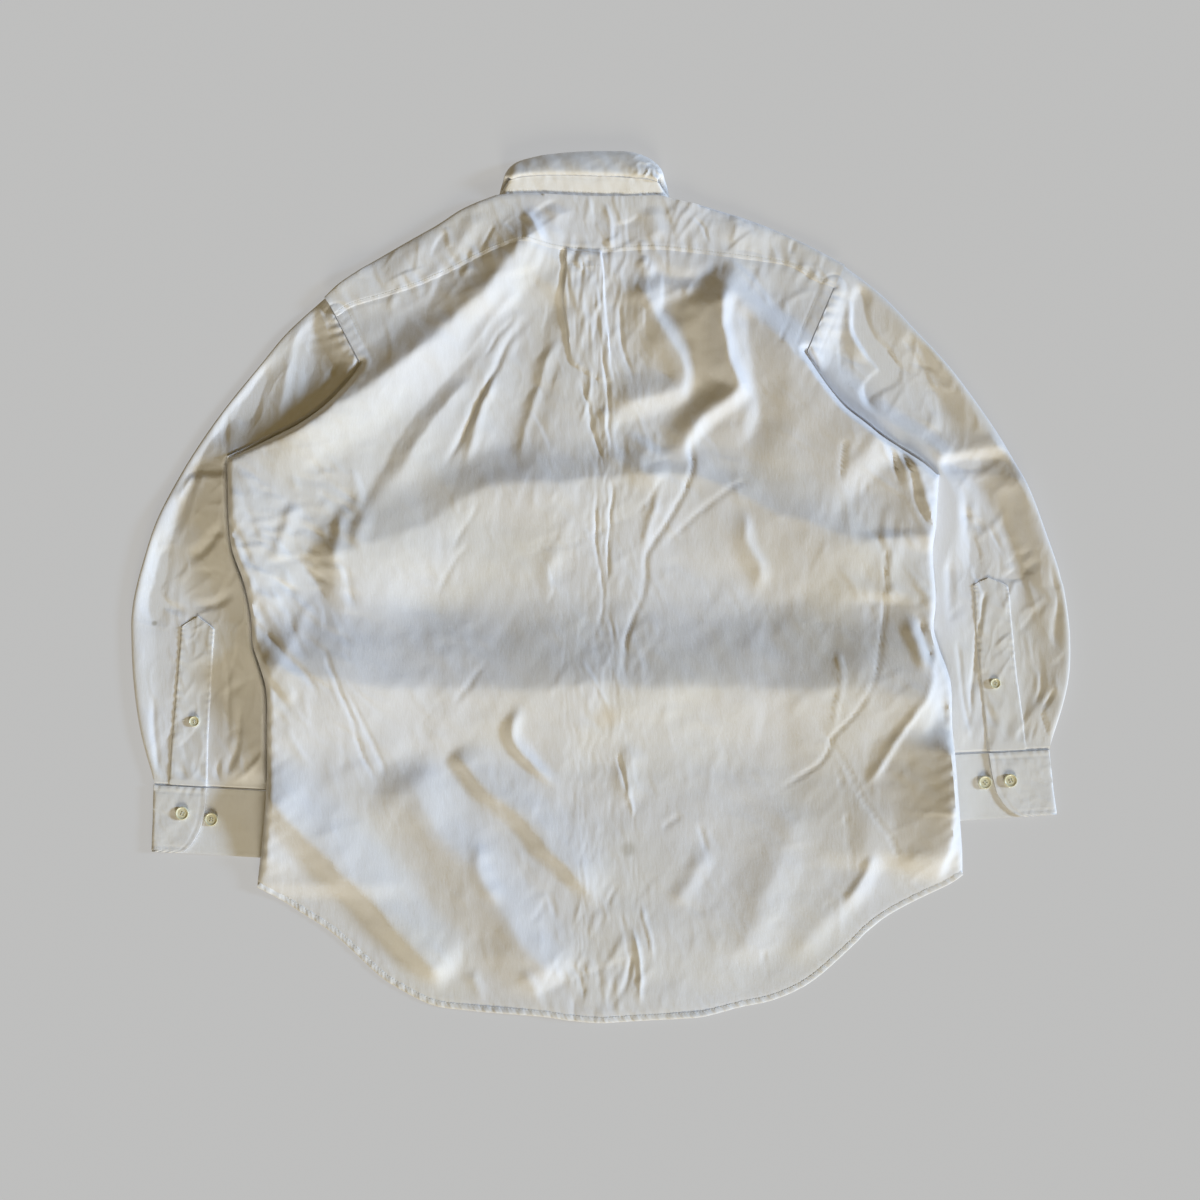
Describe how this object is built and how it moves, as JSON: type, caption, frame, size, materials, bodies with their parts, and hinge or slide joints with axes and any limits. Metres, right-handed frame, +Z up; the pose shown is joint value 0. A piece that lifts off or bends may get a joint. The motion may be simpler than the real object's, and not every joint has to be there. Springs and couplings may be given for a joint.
{
  "type": "crumpled button-up shirt laid flat, back side up",
  "caption": "White long-sleeved button-up shirt laid face down: yoke, box pleat, curved hem, and sleeves curving down with their edges under the body.",
  "frame": {"origin": "middle of the outline, on the surface that the shirt lies on", "axes": "+Z up out of the shirt's back, +Y towards the collar, +X towards the wearer's right sleeve as seen from the back"},
  "size_m": [0.89, 0.8261, 0.0329],
  "materials": {
    "cloth": "washed off-white plain-weave cotton shirting, matt, creased and a little yellowed",
    "button": "pale cream four-hole shirt button, semi-gloss"
  },
  "bodies": {
    "root": {"back": "cloth", "yoke": "cloth", "front_left": "cloth", "front_right": "cloth", "front_band": "cloth", "sleeve_left": "cloth", "sleeve_right": "cloth", "placket_left": "cloth", "placket_right": "cloth", "cuff_left": "cloth", "cuff_right": "cloth", "collar_stand": "cloth", "collar_leaf": "cloth", "cuff_button_l1": "button", "cuff_button_l2": "button", "placket_button_l": "button", "cuff_button_r1": "button", "cuff_button_r2": "button", "placket_button_r": "button", "front_button_1": "button", "front_button_2": "button", "front_button_3": "button", "front_button_4": "button", "front_button_5": "button", "front_button_6": "button", "front_button_7": "button"}
  },
  "joints": []
}
